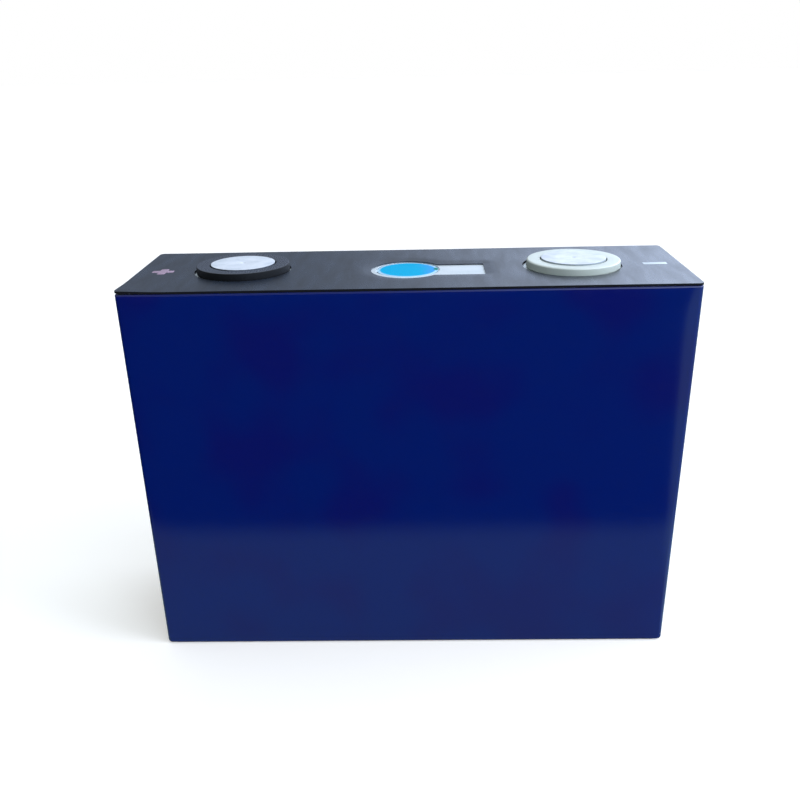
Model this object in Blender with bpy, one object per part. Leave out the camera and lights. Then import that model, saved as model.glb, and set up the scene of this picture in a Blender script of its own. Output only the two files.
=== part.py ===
"""Prismatic lithium iron phosphate cell, 160 x 50 x 118.5 mm, as it is assembled.

Frame: origin under the middle of the base, +X along the wide side towards the negative terminal,
+Y through the thickness towards the back, +Z up. All lengths are metres.
"""
import bpy
import bmesh
from math import acos, asin, cos, pi, radians, sin
from mathutils import Matrix

MM = 0.001

# Driving sizes of the whole cell
CELL_WIDTH = 160.0 * MM          # outside the blue film
CELL_THICKNESS = 50.0 * MM       # outside the blue film
CELL_HEIGHT = 118.5 * MM         # base to the terminal faces
CORNER_RADIUS = 2.0 * MM         # upright corners of the wrapped can

# Clearances
GAP = 0.3 * MM                   # between pieces that touch on the real cell
OVERSHOOT = 1.0 * MM             # how far a cutter runs past the piece it cuts

# Skins
FILM_THICKNESS = 0.3 * MM
FILM_EDGE_RADIUS = 0.8 * MM      # lower edges of the wrap
SHEET_THICKNESS = 0.4 * MM
SHEET_CORNER_RADIUS = 0.6 * MM

# Can and lid
CAN_WALL = 0.6 * MM
CAN_FLOOR = 1.0 * MM
LID_THICKNESS = 2.0 * MM
LID_CHAMFER = 0.2 * MM

# Terminals: pads stand proud of their insulating rings, which stand proud of the sheet
TERMINAL_PITCH = 97.2 * MM
PAD_RADIUS = 9.4 * MM
PAD_THICKNESS = 1.8 * MM
PAD_CHAMFER = 0.2 * MM
PAD_ABOVE_RING = 0.35 * MM
DIMPLE_RADIUS = 0.9 * MM
DIMPLE_DEPTH = 0.25 * MM
DIMPLE_WAIST_RADIUS = 0.45 * MM
DIMPLE_WAIST_DEPTH = 0.2 * MM
RING_WALL = 3.95 * MM            # radial width of the ring around the pad
RING_FLOOR = 0.6 * MM
RING_ABOVE_SHEET = 1.8 * MM
RING_FILLET = 0.4 * MM
POST_RADIUS = 3.4 * MM
POST_FLANGE_RADIUS = 8.0 * MM
POST_FLANGE_THICKNESS = 1.1 * MM
POST_FILLET = 0.3 * MM
PAD_CAP = 0.6 * MM               # pad metal above the post's blind pocket
SEAL_WALL = 1.2 * MM
SEAL_WASHER = 3.1 * MM           # radial width of the seal's foot

# Holes in the top sheet, punched a little off the terminals' line
SHEET_HOLE_SLACK = 0.75 * MM     # hole radius over ring radius
SHEET_SHIFT_X = -0.4 * MM
SHEET_SHIFT_Y = -0.2 * MM
WINDOW_SLACK = 1.7 * MM          # window radius over vent film radius
WINDOW_SHIFT_X = -0.1 * MM
WINDOW_SHIFT_Y = -1.2 * MM
SLOT_WIDTH = 13.4 * MM
SLOT_END_X = 22.5 * MM
SLOT_CENTRE_Y = -1.9 * MM
SLOT_CORNER = 0.4 * MM

# Burst vent
VENT_MOUTH_RADIUS = 7.6 * MM
VENT_FLAT_DEPTH = 1.4 * MM       # cut off each side of the round mouth, where the petals fold
VENT_RIM_WALL = 1.0 * MM
VENT_RIM_THICKNESS = 0.8 * MM
VENT_LEDGE = 0.7 * MM            # how far the lid's ledge reaches under the rim
VENT_FILM_LAP = 0.4 * MM         # film radius over rim radius
VENT_FILM_THICKNESS = 0.2 * MM
VENT_FILM_SEAT = 0.5 * MM        # radial slack of the film in its shallow seat
PETAL_THICKNESS = 0.3 * MM
PETAL_RELIEF = 0.8 * MM            # notch at each end of a fold line, so that the rim lets the petal up

# Electrolyte filling port
FILL_X = -24.0 * MM
FILL_HOLE_RADIUS = 1.6 * MM
FILL_SEAT_RADIUS = 3.3 * MM
FILL_SEAT_DEPTH = 0.9 * MM
FILL_CAP_THICKNESS = 0.5 * MM

# Plastics under the lid
INSULATOR_THICKNESS = 1.2 * MM
INSULATOR_SKIRT = 3.0 * MM
INSULATOR_WALL = 1.0 * MM
INSULATOR_CORNER = 1.5 * MM
INSULATOR_SIDE_GAP = 0.9 * MM
GUARD_HALF_WIDTH = 13.6 * MM
GUARD_SLOT_COUNT = 5
GUARD_SLOT_WIDTH = 1.8 * MM
GUARD_SLOT_LENGTH = 15.0 * MM
GUARD_SLOT_PITCH = 3.6 * MM
GUARD_SLOT_CORNER = 0.8 * MM
GUARD_CORNER = 1.0 * MM

# Current collectors and foil tabs
COLLECTOR_THICKNESS = 1.0 * MM
COLLECTOR_LENGTH = 46.0 * MM
COLLECTOR_DEPTH = 34.0 * MM
COLLECTOR_CORNER = 3.0 * MM
FUSE_SLOT_LENGTH = 20.0 * MM
FUSE_SLOT_WIDTH = 4.0 * MM
FUSE_SLOT_CORNER = 1.6 * MM
FUSE_SLOT_OFFSET = 14.0 * MM     # from the post's axis towards the cell's middle
TAB_WIDTH = 30.0 * MM
TAB_THICKNESS = 0.5 * MM
TAB_RISE = 0.6 * MM
TAB_BEND = 1.2 * MM
TAB_FOLD_OUT = 5.2 * MM
TAB_LAND = 12.5 * MM

# Electrode rolls and what holds them
POUCH_WALL = 0.3 * MM
POUCH_BELOW_LID = 5.0 * MM
BASE_PLATE_THICKNESS = 0.8 * MM
BASE_PLATE_HOLE_RADIUS = 2.0 * MM
BASE_PLATE_HOLE_PITCH = 30.0 * MM
BASE_PLATE_HOLE_COUNT = 5
ROLL_BELOW_LID = 10.0 * MM
ROLL_CORE_GAP = 0.8 * MM
ROLL_CORE_CORNER = 0.36 * MM
ROLL_FLAT = 0.04 * MM            # straight stretch in each round end, so no points coincide
ROLL_CORE_MARGIN = 11.0 * MM     # solid windings between the core slit and the roll's end
TAPE_THICKNESS = 0.3 * MM
TAPE_WIDTH = 22.0 * MM
TAPE_END_MARGIN = 6.0 * MM
TAPE_CORNER = 0.09 * MM

# Facets
ROUND_STEPS = 64
SMALL_STEPS = 32
CORNER_STEPS = 4
ROLL_END_STEPS = 8
HOLE_STEPS = 16
FILLET_STEPS = 3
FOLD_STEPS = 6

# Levels, from the terminal faces down
PAD_TOP = CELL_HEIGHT
PAD_BOTTOM = PAD_TOP - PAD_THICKNESS
RING_TOP = PAD_TOP - PAD_ABOVE_RING
SHEET_TOP = RING_TOP - RING_ABOVE_SHEET
SHEET_BOTTOM = SHEET_TOP - SHEET_THICKNESS
LID_TOP = SHEET_BOTTOM - GAP
LID_BOTTOM = LID_TOP - LID_THICKNESS
INSULATOR_TOP = LID_BOTTOM - GAP
INSULATOR_BOTTOM = INSULATOR_TOP - INSULATOR_THICKNESS
POST_FLANGE_TOP = INSULATOR_BOTTOM - GAP
POST_BOTTOM = POST_FLANGE_TOP - POST_FLANGE_THICKNESS
COLLECTOR_TOP = POST_BOTTOM - GAP
COLLECTOR_BOTTOM = COLLECTOR_TOP - COLLECTOR_THICKNESS
ROLL_TOP = LID_BOTTOM - ROLL_BELOW_LID

# Levels, from the base up
CAN_BASE = FILM_THICKNESS + GAP
CAN_INSIDE = CAN_BASE + CAN_FLOOR
BASE_PLATE_BOTTOM = CAN_INSIDE + GAP
BASE_PLATE_TOP = BASE_PLATE_BOTTOM + BASE_PLATE_THICKNESS
POUCH_BOTTOM = BASE_PLATE_TOP + GAP
ROLL_BOTTOM = POUCH_BOTTOM + POUCH_WALL + GAP

# Insets of each skin from the cell's faces
CAN_INSET = FILM_THICKNESS + GAP
LID_INSET = CAN_INSET + CAN_WALL + GAP
POUCH_INSET = LID_INSET
ROLL_INSET = POUCH_INSET + POUCH_WALL + GAP
RING_RADIUS = PAD_RADIUS + GAP + RING_WALL
SEAL_BORE = POST_RADIUS + GAP
SEAL_RADIUS = SEAL_BORE + SEAL_WALL
SEAL_FOOT_RADIUS = SEAL_BORE + SEAL_WASHER
ROLL_OUTER_Y = CELL_THICKNESS / 2 - ROLL_INSET - TAPE_THICKNESS - GAP
ROLL_THICKNESS = ROLL_OUTER_Y - GAP / 2
ROLL_CENTRE_Y = GAP / 2 + ROLL_THICKNESS / 2
ROLL_HALF_WIDTH = CELL_WIDTH / 2 - ROLL_INSET
VENT_MOUTH_HALF = VENT_MOUTH_RADIUS - VENT_FLAT_DEPTH
VENT_RIM_RADIUS = VENT_MOUTH_RADIUS + VENT_RIM_WALL
VENT_FILM_RADIUS = VENT_RIM_RADIUS + VENT_FILM_LAP
VENT_SEAT_LEVEL = LID_TOP - VENT_FILM_THICKNESS - GAP
PETAL_RADIUS = VENT_MOUTH_RADIUS - GAP
PETAL_HINGE_X = VENT_MOUTH_HALF - GAP


def material(name, colour, roughness, metallic):
    """A Principled material, made once and shared by the pieces of the same stuff."""
    found = bpy.data.materials.get(name)
    if found:
        return found
    made = bpy.data.materials.new(name)
    made.use_nodes = True
    shader = made.node_tree.nodes["Principled BSDF"]
    shader.inputs["Base Color"].default_value = (*colour, 1.0)
    shader.inputs["Roughness"].default_value = roughness
    shader.inputs["Metallic"].default_value = metallic
    return made


BLUE_FILM = material("blue_pet_film", (0.004, 0.012, 0.13), 0.12, 0.0)
BLACK_SHEET = material("black_epoxy_sheet", (0.06, 0.07, 0.085), 0.38, 0.0)
CYAN_FILM = material("cyan_vent_film", (0.0, 0.35, 0.80), 0.2, 0.0)
ALUMINIUM = material("rolled_aluminium", (0.78, 0.79, 0.80), 0.32, 1.0)
PAD_METAL = material("pad_aluminium", (0.85, 0.86, 0.88), 0.28, 1.0)
COPPER = material("copper", (0.80, 0.42, 0.27), 0.35, 1.0)
BLACK_PLASTIC = material("black_pps", (0.012, 0.012, 0.014), 0.35, 0.0)
WHITE_PLASTIC = material("white_pps", (0.80, 0.82, 0.80), 0.4, 0.0)
SEAL_RUBBER = material("seal_rubber", (0.02, 0.02, 0.02), 0.75, 0.0)
CLEAR_PLASTIC = material("natural_polypropylene", (0.62, 0.64, 0.64), 0.5, 0.0)
SEPARATOR = material("separator_wrap", (0.75, 0.75, 0.73), 0.65, 0.0)
GREEN_TAPE = material("green_tape", (0.05, 0.35, 0.14), 0.4, 0.0)


def clear_scene():
    for item in list(bpy.data.objects):
        bpy.data.objects.remove(item, do_unlink=True)


def finish_mesh(name, mesh_data, stuff, angle=35.0):
    """Turn a bmesh into a named object with outward faces and smooth round sides."""
    bmesh.ops.recalc_face_normals(mesh_data, faces=mesh_data.faces)
    mesh = bpy.data.meshes.new(name)
    mesh_data.to_mesh(mesh)
    mesh_data.free()
    item = bpy.data.objects.new(name, mesh)
    bpy.context.scene.collection.objects.link(item)
    mesh.shade_smooth()
    mesh.set_sharp_from_angle(angle=radians(angle))
    if stuff:
        mesh.materials.append(stuff)
    return item


def arc(centre_x, centre_y, radius, start, end, steps):
    """Points along an arc, both ends included; angles in radians."""
    turn = (end - start) / steps
    return [(centre_x + radius * cos(start + turn * i), centre_y + radius * sin(start + turn * i))
            for i in range(steps + 1)]


def circle(centre_x, centre_y, radius, steps=ROUND_STEPS):
    return arc(centre_x, centre_y, radius, 0.0, 2.0 * pi, steps)[:-1]


def rounded_box(x0, x1, y0, y1, radius, steps=CORNER_STEPS):
    """Outline of a rectangle with round corners, counter-clockwise."""
    corners = ((x1 - radius, y1 - radius, 0.0), (x0 + radius, y1 - radius, 0.5 * pi),
               (x0 + radius, y0 + radius, pi), (x1 - radius, y0 + radius, 1.5 * pi))
    return [point for cx, cy, start in corners
            for point in arc(cx, cy, radius, start, start + 0.5 * pi, steps)]


def cell_outline(inset, least_radius=0.3 * MM):
    """The cell's plan shape, moved inwards by an inset."""
    return rounded_box(-CELL_WIDTH / 2 + inset, CELL_WIDTH / 2 - inset,
                       -CELL_THICKNESS / 2 + inset, CELL_THICKNESS / 2 - inset,
                       max(CORNER_RADIUS - inset, least_radius))


def loft(name, loops, stuff, closed=False):
    """Skin outlines with equal point counts, each a (points, z) pair.

    The first and last are capped, unless the row of outlines closes on itself."""
    data = bmesh.new()
    rings = [[data.verts.new((x, y, z)) for x, y in points] for points, z in loops]
    if not closed:
        data.faces.new(rings[0])
        data.faces.new(rings[-1])
    pairs = list(zip(rings, rings[1:]))
    if closed:
        pairs.append((rings[-1], rings[0]))
    for lower, upper in pairs:
        for i in range(len(lower)):
            data.faces.new((lower[i - 1], lower[i], upper[i], upper[i - 1]))
    return finish_mesh(name, data, stuff)


def plate(name, outline, bottom, top, stuff):
    return loft(name, [(outline, bottom), (outline, top)], stuff)


def lathe(name, profile, x, y, stuff, steps=ROUND_STEPS):
    """Turn a closed profile of (radius, z) points about an upright axis at (x, y)."""
    data = bmesh.new()
    verts = [data.verts.new((x + radius, y, z)) for radius, z in profile]
    edges = [data.edges.new((verts[i - 1], verts[i])) for i in range(len(verts))]
    bmesh.ops.spin(data, geom=verts + edges, cent=(x, y, 0.0), axis=(0.0, 0.0, 1.0),
                   angle=2.0 * pi, steps=steps, use_merge=True)
    bmesh.ops.remove_doubles(data, verts=data.verts, dist=1e-7)
    loose = [edge for edge in data.edges if not edge.link_faces]
    bmesh.ops.delete(data, geom=loose, context="EDGES")
    return finish_mesh(name, data, stuff)


def cut(item, *cutters):
    """Subtract closed cutters from a piece and hide them from the model."""
    for cutter in cutters:
        cutter.hide_render = True
        cutter.display_type = "WIRE"
        subtract = item.modifiers.new(cutter.name, "BOOLEAN")
        subtract.operation = "DIFFERENCE"
        subtract.solver = "EXACT"
        subtract.object = cutter
    return item


def disc(radius, bottom, top):
    """Profile of a plain disc for the lathe."""
    return [(0.0, bottom), (radius, bottom), (radius, top), (0.0, top)]


# ---- Outer skins -------------------------------------------------------------------------------

def make_film_wrap():
    """Blue film around the four walls and folded under the base: an open box."""
    edge = FILM_EDGE_RADIUS
    foot = [(cell_outline(edge - edge * sin(turn)), edge - edge * cos(turn))
            for turn in (0.0, pi / 6, pi / 3)]
    inner = cell_outline(FILM_THICKNESS)
    skin = [(cell_outline(0.0), edge), (cell_outline(0.0), LID_TOP), (inner, LID_TOP),
            (inner, edge), (cell_outline(edge), FILM_THICKNESS)]
    return loft("film_wrap", foot + skin, BLUE_FILM)


def sheet_hole(name, x):
    return lathe(name, disc(RING_RADIUS + SHEET_HOLE_SLACK, SHEET_BOTTOM - OVERSHOOT,
                            SHEET_TOP + OVERSHOOT), x + SHEET_SHIFT_X, SHEET_SHIFT_Y, None)


def keyhole_outline():
    """Round window over the vent with a straight slot running towards the negative terminal."""
    radius = VENT_FILM_RADIUS + WINDOW_SLACK
    low = SLOT_CENTRE_Y - SLOT_WIDTH / 2
    high = SLOT_CENTRE_Y + SLOT_WIDTH / 2
    start = asin((high - WINDOW_SHIFT_Y) / radius)
    end = 2.0 * pi + asin((low - WINDOW_SHIFT_Y) / radius)
    points = arc(WINDOW_SHIFT_X, WINDOW_SHIFT_Y, radius, start, end, ROUND_STEPS - CORNER_STEPS)
    points += arc(SLOT_END_X - SLOT_CORNER, low + SLOT_CORNER, SLOT_CORNER, -0.5 * pi, 0.0,
                  FILLET_STEPS)
    points += arc(SLOT_END_X - SLOT_CORNER, high - SLOT_CORNER, SLOT_CORNER, 0.0, 0.5 * pi,
                  FILLET_STEPS)
    return points


def make_top_sheet():
    """Black sheet stuck over the lid, with round holes for the terminals and a keyhole window."""
    outline = rounded_box(-CELL_WIDTH / 2, CELL_WIDTH / 2, -CELL_THICKNESS / 2,
                          CELL_THICKNESS / 2, SHEET_CORNER_RADIUS)
    sheet = plate("top_sheet", outline, SHEET_BOTTOM, SHEET_TOP, BLACK_SHEET)
    window = plate("cut_sheet_window", keyhole_outline(), SHEET_BOTTOM - OVERSHOOT,
                   SHEET_TOP + OVERSHOOT, None)
    return cut(sheet, sheet_hole("cut_sheet_positive", -TERMINAL_PITCH / 2),
               sheet_hole("cut_sheet_negative", TERMINAL_PITCH / 2), window)


# ---- Can and lid -------------------------------------------------------------------------------

def make_can():
    """Deep-drawn can: thin walls, thicker floor, open at the top where the lid is welded in."""
    outside = cell_outline(CAN_INSET)
    inside = cell_outline(CAN_INSET + CAN_WALL)
    edge = FILM_EDGE_RADIUS
    foot = cell_outline(CAN_INSET + edge)
    return loft("can", [(foot, CAN_BASE), (outside, CAN_BASE + edge), (outside, LID_TOP),
                        (inside, LID_TOP), (inside, CAN_INSIDE)], ALUMINIUM)


def make_lid_plate():
    """Lid with two post holes, the stepped vent seat and the stepped filling port."""
    outline = cell_outline(LID_INSET)
    lid = loft("lid_plate", [(outline, LID_BOTTOM), (outline, LID_TOP - LID_CHAMFER),
                             (cell_outline(LID_INSET + LID_CHAMFER), LID_TOP)], ALUMINIUM)
    cutters = []
    for label, side in (("positive", -1), ("negative", 1)):
        hole = disc(SEAL_RADIUS + GAP, LID_BOTTOM - OVERSHOOT, LID_TOP + OVERSHOOT)
        cutters.append(lathe("cut_lid_" + label, hole, side * TERMINAL_PITCH / 2, 0.0, None,
                             SMALL_STEPS))
    ledge = VENT_SEAT_LEVEL - VENT_RIM_THICKNESS - GAP
    vent = [(0.0, LID_BOTTOM - OVERSHOOT), (VENT_RIM_RADIUS - VENT_LEDGE, LID_BOTTOM - OVERSHOOT),
            (VENT_RIM_RADIUS - VENT_LEDGE, ledge), (VENT_RIM_RADIUS + GAP, ledge),
            (VENT_RIM_RADIUS + GAP, VENT_SEAT_LEVEL),
            (VENT_FILM_RADIUS + VENT_FILM_SEAT, VENT_SEAT_LEVEL),
            (VENT_FILM_RADIUS + VENT_FILM_SEAT, LID_TOP + OVERSHOOT), (0.0, LID_TOP + OVERSHOOT)]
    cutters.append(lathe("cut_lid_vent", vent, 0.0, 0.0, None))
    step = LID_TOP - FILL_SEAT_DEPTH
    port = [(0.0, LID_BOTTOM - OVERSHOOT), (FILL_HOLE_RADIUS, LID_BOTTOM - OVERSHOOT),
            (FILL_HOLE_RADIUS, step), (FILL_SEAT_RADIUS, step),
            (FILL_SEAT_RADIUS, LID_TOP + OVERSHOOT), (0.0, LID_TOP + OVERSHOOT)]
    cutters.append(lathe("cut_lid_port", port, FILL_X, 0.0, None, SMALL_STEPS))
    return cut(lid, *cutters)


def make_filling_port():
    """Rubber plug in the port and the small cap welded over it."""
    step = LID_TOP - FILL_SEAT_DEPTH
    lathe("fill_plug", disc(FILL_HOLE_RADIUS - GAP, LID_BOTTOM, step), FILL_X, 0.0, SEAL_RUBBER,
          SMALL_STEPS)
    lathe("fill_cap", disc(FILL_SEAT_RADIUS - GAP, step + GAP, step + GAP + FILL_CAP_THICKNESS),
          FILL_X, 0.0, ALUMINIUM, SMALL_STEPS)


# ---- Burst vent --------------------------------------------------------------------------------

def vent_mouth(radius, half):
    """A circle with its left and right sides cut straight."""
    start = acos(half / radius)
    steps = ROUND_STEPS // 4
    upper = arc(0.0, 0.0, radius, start, pi - start, steps)
    return upper + [(-x, -y) for x, y in upper]


def petal_outline(side):
    """Half of the vent's scored membrane, from the middle slit out to its fold line."""
    inner = GAP / 2
    root = PETAL_HINGE_X - PETAL_RELIEF
    fold_half = (PETAL_RADIUS ** 2 - PETAL_HINGE_X ** 2) ** 0.5
    upper = [(PETAL_HINGE_X, fold_half), (root, fold_half)]
    upper += arc(0.0, 0.0, PETAL_RADIUS, acos(root / PETAL_RADIUS), acos(inner / PETAL_RADIUS),
                 ROUND_STEPS // 8)
    half = upper + [(x, -y) for x, y in reversed(upper)]
    return [(side * x, y) for x, y in half]


def make_vent():
    """Rim welded into the lid, two petals that fold up at its straight sides, film over all."""
    top = VENT_SEAT_LEVEL
    bottom = top - VENT_RIM_THICKNESS
    rim = plate("vent_rim", circle(0.0, 0.0, VENT_RIM_RADIUS), bottom, top, ALUMINIUM)
    mouth = plate("cut_vent_mouth", vent_mouth(VENT_MOUTH_RADIUS, VENT_MOUTH_HALF),
                  bottom - OVERSHOOT, top + OVERSHOOT, None)
    cut(rim, mouth)
    middle = (top + bottom) / 2
    for label, side in (("left", -1), ("right", 1)):
        petal = plate("vent_petal_" + label, petal_outline(side), -PETAL_THICKNESS / 2,
                      PETAL_THICKNESS / 2, ALUMINIUM)
        petal.data.transform(Matrix.Translation((-side * PETAL_HINGE_X, 0.0, 0.0)))
        petal.location = (side * PETAL_HINGE_X, 0.0, middle)
    film = lathe("vent_film", disc(VENT_FILM_RADIUS, -VENT_FILM_THICKNESS / 2,
                                   VENT_FILM_THICKNESS / 2), VENT_FILM_RADIUS, 0.0, CYAN_FILM)
    film.location = (-VENT_FILM_RADIUS, 0.0, LID_TOP - VENT_FILM_THICKNESS / 2)


# ---- Terminals ---------------------------------------------------------------------------------

def make_terminal(label, side, ring_stuff, post_stuff):
    """Post through the lid, its seal, the insulating ring and the pad welded on the post."""
    x = side * TERMINAL_PITCH / 2
    bore = PAD_RADIUS + GAP
    ring_bottom = LID_TOP + GAP
    fillet = arc(RING_RADIUS - RING_FILLET, RING_TOP - RING_FILLET, RING_FILLET, 0.0, 0.5 * pi,
                 FILLET_STEPS)
    ring = [(SEAL_RADIUS + 2 * GAP, ring_bottom), (RING_RADIUS, ring_bottom)] + fillet
    ring += [(bore + PAD_CHAMFER, RING_TOP), (bore, RING_TOP - PAD_CHAMFER),
             (bore, ring_bottom + RING_FLOOR), (SEAL_RADIUS + 2 * GAP, ring_bottom + RING_FLOOR)]
    lathe(label + "_ring", ring, x, 0.0, ring_stuff)

    pocket_top = PAD_TOP - PAD_CAP
    pad = [(0.0, PAD_TOP - DIMPLE_DEPTH), (DIMPLE_WAIST_RADIUS, PAD_TOP - DIMPLE_WAIST_DEPTH),
           (DIMPLE_RADIUS, PAD_TOP), (PAD_RADIUS - PAD_CHAMFER, PAD_TOP),
           (PAD_RADIUS, PAD_TOP - PAD_CHAMFER), (PAD_RADIUS, PAD_BOTTOM),
           (SEAL_BORE, PAD_BOTTOM), (SEAL_BORE, pocket_top), (0.0, pocket_top)]
    lathe(label + "_pad", pad, x, 0.0, PAD_METAL)

    post = [(0.0, POST_BOTTOM), (POST_FLANGE_RADIUS, POST_BOTTOM),
            (POST_FLANGE_RADIUS, POST_FLANGE_TOP), (POST_RADIUS, POST_FLANGE_TOP),
            (POST_RADIUS, pocket_top - GAP - POST_FILLET),
            (POST_RADIUS - POST_FILLET, pocket_top - GAP), (0.0, pocket_top - GAP)]
    lathe(label + "_post", post, x, 0.0, post_stuff, SMALL_STEPS)

    seal = [(SEAL_BORE, INSULATOR_BOTTOM), (SEAL_FOOT_RADIUS, INSULATOR_BOTTOM),
            (SEAL_FOOT_RADIUS, INSULATOR_TOP), (SEAL_RADIUS, INSULATOR_TOP),
            (SEAL_RADIUS, LID_TOP + GAP), (SEAL_BORE, LID_TOP + GAP)]
    lathe(label + "_seal", seal, x, 0.0, SEAL_RUBBER, SMALL_STEPS)


# ---- Under the lid -----------------------------------------------------------------------------

def make_lower_insulator(label, side):
    """Shallow tray, open downwards, between the lid and the current collector."""
    near = GUARD_HALF_WIDTH + GAP
    far = CELL_WIDTH / 2 - LID_INSET - INSULATOR_SIDE_GAP
    half = CELL_THICKNESS / 2 - LID_INSET - INSULATOR_SIDE_GAP
    x0, x1 = sorted((side * near, side * far))
    wall = INSULATOR_WALL
    outside = rounded_box(x0, x1, -half, half, INSULATOR_CORNER)
    inside = rounded_box(x0 + wall, x1 - wall, -half + wall, half - wall,
                         INSULATOR_CORNER - wall)
    skirt = INSULATOR_BOTTOM - INSULATOR_SKIRT
    tray = loft("lower_insulator_" + label, [(outside, INSULATOR_TOP), (outside, skirt),
                                             (inside, skirt), (inside, INSULATOR_BOTTOM)],
                CLEAR_PLASTIC)
    hole = disc(SEAL_FOOT_RADIUS + GAP, INSULATOR_BOTTOM - OVERSHOOT, INSULATOR_TOP + OVERSHOOT)
    cutters = [lathe("cut_insulator_" + label, hole, side * TERMINAL_PITCH / 2, 0.0, None,
                     SMALL_STEPS)]
    if x0 < FILL_X < x1:
        port = disc(FILL_HOLE_RADIUS + GAP, INSULATOR_BOTTOM - OVERSHOOT,
                    INSULATOR_TOP + OVERSHOOT)
        cutters.append(lathe("cut_insulator_port", port, FILL_X, 0.0, None, SMALL_STEPS))
    cut(tray, *cutters)


def make_vent_guard():
    """Slotted plate that keeps the rolls from blocking the vent."""
    half = CELL_THICKNESS / 2 - LID_INSET - INSULATOR_SIDE_GAP
    guard = plate("vent_guard", rounded_box(-GUARD_HALF_WIDTH, GUARD_HALF_WIDTH, -half, half,
                                            GUARD_CORNER), INSULATOR_BOTTOM, INSULATOR_TOP,
                  CLEAR_PLASTIC)
    slots = []
    for i in range(GUARD_SLOT_COUNT):
        x = (i - (GUARD_SLOT_COUNT - 1) / 2) * GUARD_SLOT_PITCH
        outline = rounded_box(x - GUARD_SLOT_WIDTH / 2, x + GUARD_SLOT_WIDTH / 2,
                              -GUARD_SLOT_LENGTH / 2, GUARD_SLOT_LENGTH / 2,
                              GUARD_SLOT_CORNER)
        slots.append(plate("cut_guard_slot_%d" % i, outline, INSULATOR_BOTTOM - OVERSHOOT,
                           INSULATOR_TOP + OVERSHOOT, None))
    cut(guard, *slots)


def make_collector(label, side, stuff, fused):
    """Flat plate under the post that gathers the foil tabs; the positive one has a fuse slot."""
    x = side * TERMINAL_PITCH / 2
    outline = rounded_box(x - COLLECTOR_LENGTH / 2, x + COLLECTOR_LENGTH / 2,
                          -COLLECTOR_DEPTH / 2, COLLECTOR_DEPTH / 2, COLLECTOR_CORNER)
    collector = plate(label + "_collector", outline, COLLECTOR_BOTTOM, COLLECTOR_TOP, stuff)
    if fused:
        fuse_x = x - side * FUSE_SLOT_OFFSET
        fuse = rounded_box(fuse_x - FUSE_SLOT_WIDTH / 2, fuse_x + FUSE_SLOT_WIDTH / 2,
                           -FUSE_SLOT_LENGTH / 2, FUSE_SLOT_LENGTH / 2, FUSE_SLOT_CORNER)
        cut(collector, plate("cut_fuse_slot", fuse, COLLECTOR_BOTTOM - OVERSHOOT,
                             COLLECTOR_TOP + OVERSHOOT, None))


def ribbon(name, path, thickness, x0, x1, stuff):
    """A strip of foil: a path of (y, z) points given a thickness and drawn out along X."""
    sides = ([], [])
    for i, (y, z) in enumerate(path):
        before = path[max(i - 1, 0)]
        after = path[min(i + 1, len(path) - 1)]
        along_y = after[0] - before[0]
        along_z = after[1] - before[1]
        length = (along_y ** 2 + along_z ** 2) ** 0.5
        for edge, sign in zip(sides, (-0.5, 0.5)):
            edge.append((y - sign * thickness * along_z / length,
                         z + sign * thickness * along_y / length))
    data = bmesh.new()
    ends = [[data.verts.new((x, y, z)) for y, z in sides[0] + sides[1][::-1]] for x in (x0, x1)]
    for loop in ends:
        data.faces.new(loop)
    count = len(ends[0])
    for i in range(count):
        data.faces.new((ends[0][i - 1], ends[0][i], ends[1][i], ends[1][i - 1]))
    return finish_mesh(name, data, stuff)


def tab_path(roll_y):
    """Up out of the roll, folded outwards, then back flat under the collector.

    Written for the back roll, where outwards is +Y; the front roll's path is its mirror."""
    start = ROLL_TOP + GAP
    land = COLLECTOR_BOTTOM - GAP - TAB_THICKNESS / 2
    shelf = start + TAB_RISE + TAB_BEND
    fold = (land - shelf) / 2
    y_fold = roll_y + TAB_BEND + TAB_FOLD_OUT
    path = [(roll_y, start)]
    path += arc(roll_y + TAB_BEND, start + TAB_RISE, TAB_BEND, pi, 0.5 * pi, FILLET_STEPS)
    path += arc(y_fold, shelf + fold, fold, -0.5 * pi, 0.5 * pi, FOLD_STEPS)
    path.append((y_fold - TAB_LAND, land))
    return path


def make_tabs(label, side, stuff):
    x = side * TERMINAL_PITCH / 2
    roll_y = ROLL_CENTRE_Y
    for place, mirror in (("front", -1), ("back", 1)):
        path = [(mirror * y, z) for y, z in tab_path(roll_y)]
        ribbon(label + "_tab_" + place, path, TAB_THICKNESS, x - TAB_WIDTH / 2,
               x + TAB_WIDTH / 2, stuff)


# ---- Electrode rolls and their liners ----------------------------------------------------------

def make_roll(place, side):
    """Flat-wound electrodes: round ends, and the slit where the winding mandrel was."""
    y = side * ROLL_CENTRE_Y
    outside = rounded_box(-ROLL_HALF_WIDTH, ROLL_HALF_WIDTH, y - ROLL_THICKNESS / 2,
                          y + ROLL_THICKNESS / 2, (ROLL_THICKNESS - ROLL_FLAT) / 2, ROLL_END_STEPS)
    core = ROLL_HALF_WIDTH - ROLL_CORE_MARGIN
    inside = rounded_box(-core, core, y - ROLL_CORE_GAP / 2, y + ROLL_CORE_GAP / 2,
                         ROLL_CORE_CORNER, ROLL_END_STEPS)
    loft("jelly_roll_" + place, [(outside, ROLL_BOTTOM), (outside, ROLL_TOP), (inside, ROLL_TOP),
                                 (inside, ROLL_BOTTOM)], SEPARATOR, closed=True)
    near, far = sorted((side * (ROLL_OUTER_Y + GAP), side * (ROLL_OUTER_Y + GAP + TAPE_THICKNESS)))
    tape = rounded_box(-TAPE_WIDTH / 2, TAPE_WIDTH / 2, near, far, TAPE_CORNER, 1)
    plate("roll_tape_" + place, tape, ROLL_BOTTOM + TAPE_END_MARGIN, ROLL_TOP - TAPE_END_MARGIN,
          GREEN_TAPE)


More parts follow.
